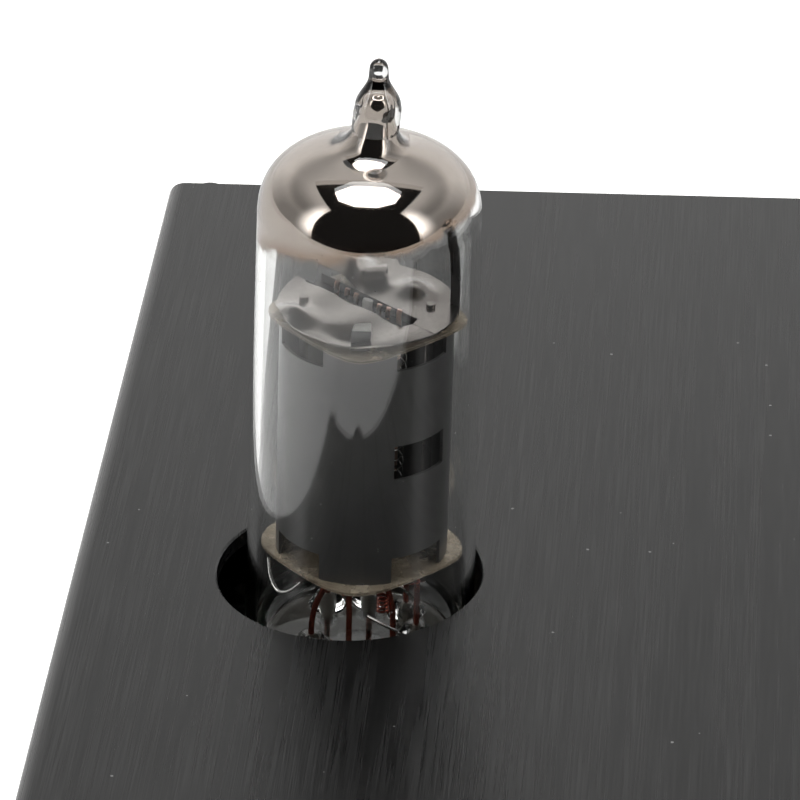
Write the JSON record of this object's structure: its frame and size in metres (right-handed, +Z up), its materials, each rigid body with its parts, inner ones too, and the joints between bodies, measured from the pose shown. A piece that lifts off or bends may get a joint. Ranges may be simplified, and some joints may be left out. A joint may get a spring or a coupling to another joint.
{
  "type": "microphone preamp",
  "caption": "Desktop valve microphone preamplifier: flat brushed black case, glass valves standing through its top, gain knobs in front, sockets behind.",
  "frame": {"origin": "centre of the whole footprint, on the surface the rubber feet stand on", "axes": "+X to the right seen from the front, -Y out of the front panel, +Z up"},
  "size_m": [0.12, 0.1354, 0.0866],
  "materials": {
    "anodised_case": "black anodised, brushed front to back, satin",
    "anodised_end_plate": "black anodised, brushed, satin",
    "black_screw": "black oxide",
    "foot_rubber": "matte moulded",
    "circuit_board": "green solder mask on glass epoxy",
    "standoff_brass": "nickelled brass",
    "zinc_screw": "zinc plated",
    "socket_ceramic": "unglazed",
    "tinned_contact": "tinned",
    "capacitor_sleeve": "shrink sleeve",
    "film_capacitor": "dipped epoxy",
    "chip_epoxy": "moulded epoxy",
    "ferrite": "sintered",
    "raw_aluminium": "mill finish",
    "resistor_lacquer": "lacquered",
    "potentiometer_steel": "tin plated",
    "nickel_nut": "nickel plated",
    "shaft_steel": "turned",
    "knob_aluminium": "black anodised, turned face",
    "switch_plastic": "moulded",
    "button_plastic": "moulded, polished",
    "led_lens": "tinted epoxy lens",
    "xlr_zinc": "black die cast zinc",
    "xlr_insulator": "moulded",
    "xlr_contact": "gold plated",
    "latch_metal": "satin nickel",
    "jack_plastic": "moulded",
    "dc_plastic": "moulded",
    "rocker_frame_plastic": "moulded, fine texture",
    "rocker_plastic": "moulded, polished",
    "bulb_glass": "clear blown glass",
    "pin_alloy": "nickel iron alloy",
    "mica_sheet": "split mica",
    "anode_nickel": "satin nickel plated iron",
    "cathode_nickel": "oxide coated nickel",
    "grid_rod_copper": "copper rod",
    "shield_nickel": "bright nickel",
    "getter_metal": "fired barium getter strip"
  },
  "bodies": {
    "case": {"top_shell": "anodised_case", "bottom_shell": "anodised_case", "front_panel": "anodised_end_plate", "rear_panel": "anodised_end_plate", "end_plate_screws": "black_screw", "rubber_feet": "foot_rubber", "main_board": "circuit_board", "tube_board": "circuit_board", "board_standoffs": "standoff_brass", "board_screws": "zinc_screw", "tube_sockets": "socket_ceramic", "socket_contacts": "tinned_contact", "electrolytic_capacitors": "capacitor_sleeve", "film_capacitors": "film_capacitor", "opamp_chips": "chip_epoxy", "power_inductor": "ferrite", "regulator_heatsink": "raw_aluminium", "resistors": "resistor_lacquer", "gain_pots": "potentiometer_steel", "pot_nuts": "nickel_nut", "switch_bodies": "switch_plastic", "indicator_leds": "led_lens", "xlr_shells": "xlr_zinc", "xlr_inserts": "xlr_insulator", "xlr_contacts": "xlr_contact", "xlr_screws": "black_screw", "output_jacks": "jack_plastic", "jack_nuts": "nickel_nut", "dc_jack": "dc_plastic", "rocker_frame": "rocker_frame_plastic"},
    "gain_left": {"gain_knob_left": "knob_aluminium", "gain_shaft_left": "shaft_steel"},
    "gain_right": {"gain_knob_right": "knob_aluminium", "gain_shaft_right": "shaft_steel"},
    "pad_left": {"pad_button_left": "button_plastic"},
    "phantom_left": {"phantom_button_left": "button_plastic"},
    "phantom_right": {"phantom_button_right": "button_plastic"},
    "pad_right": {"pad_button_right": "button_plastic"},
    "latch_left": {"xlr_latch_left": "latch_metal"},
    "latch_right": {"xlr_latch_right": "latch_metal"},
    "rocker": {"power_rocker": "rocker_plastic"},
    "valve_left": {"glass_bulb_left": "bulb_glass", "base_pins_left": "pin_alloy", "lower_mica_left": "mica_sheet", "upper_mica_left": "mica_sheet", "anode_left": "anode_nickel", "cathode_left": "cathode_nickel", "grid_rods_left": "grid_rod_copper", "top_shield_left": "shield_nickel", "getter_left": "getter_metal"},
    "valve_right": {"glass_bulb_right": "bulb_glass", "base_pins_right": "pin_alloy", "lower_mica_right": "mica_sheet", "upper_mica_right": "mica_sheet", "anode_right": "anode_nickel", "cathode_right": "cathode_nickel", "grid_rods_right": "grid_rod_copper", "top_shield_right": "shield_nickel", "getter_right": "getter_metal"}
  },
  "joints": [
    {"name": "gain_turn_left", "type": "hinge", "parent": "case", "child": "gain_left", "pos_m": [-0.038, -0.0527, 0.022], "axis": [0, -1, 0], "range_deg": [-150, 150]},
    {"name": "gain_turn_right", "type": "hinge", "parent": "case", "child": "gain_right", "pos_m": [0.038, -0.0527, 0.022], "axis": [0, -1, 0], "range_deg": [-150, 150]},
    {"name": "pad_left_press", "type": "slide", "parent": "case", "child": "pad_left", "axis": [0, 1, 0], "range_m": [0, 0.002], "stiffness_N_per_m": 400},
    {"name": "phantom_left_press", "type": "slide", "parent": "case", "child": "phantom_left", "axis": [0, 1, 0], "range_m": [0, 0.002], "stiffness_N_per_m": 400},
    {"name": "phantom_right_press", "type": "slide", "parent": "case", "child": "phantom_right", "axis": [0, 1, 0], "range_m": [0, 0.002], "stiffness_N_per_m": 400},
    {"name": "pad_right_press", "type": "slide", "parent": "case", "child": "pad_right", "axis": [0, 1, 0], "range_m": [0, 0.002], "stiffness_N_per_m": 400},
    {"name": "latch_press_left", "type": "slide", "parent": "case", "child": "latch_left", "axis": [0, -1, 0], "range_m": [0, 0.0012], "stiffness_N_per_m": 600},
    {"name": "latch_press_right", "type": "slide", "parent": "case", "child": "latch_right", "axis": [0, -1, 0], "range_m": [0, 0.0012], "stiffness_N_per_m": 600},
    {"name": "power_switch", "type": "hinge", "parent": "case", "child": "rocker", "pos_m": [0.0465, 0.0645, 0.028], "axis": [-1, 0, 0], "range_deg": [0, 20]},
    {"name": "valve_pull_left", "type": "slide", "parent": "case", "child": "valve_left", "axis": [0.0349, 0, 0.9994], "range_m": [0, 0.05]},
    {"name": "valve_pull_right", "type": "slide", "parent": "case", "child": "valve_right", "axis": [-0.0175, 0, 0.9998], "range_m": [0, 0.05]}
  ]
}
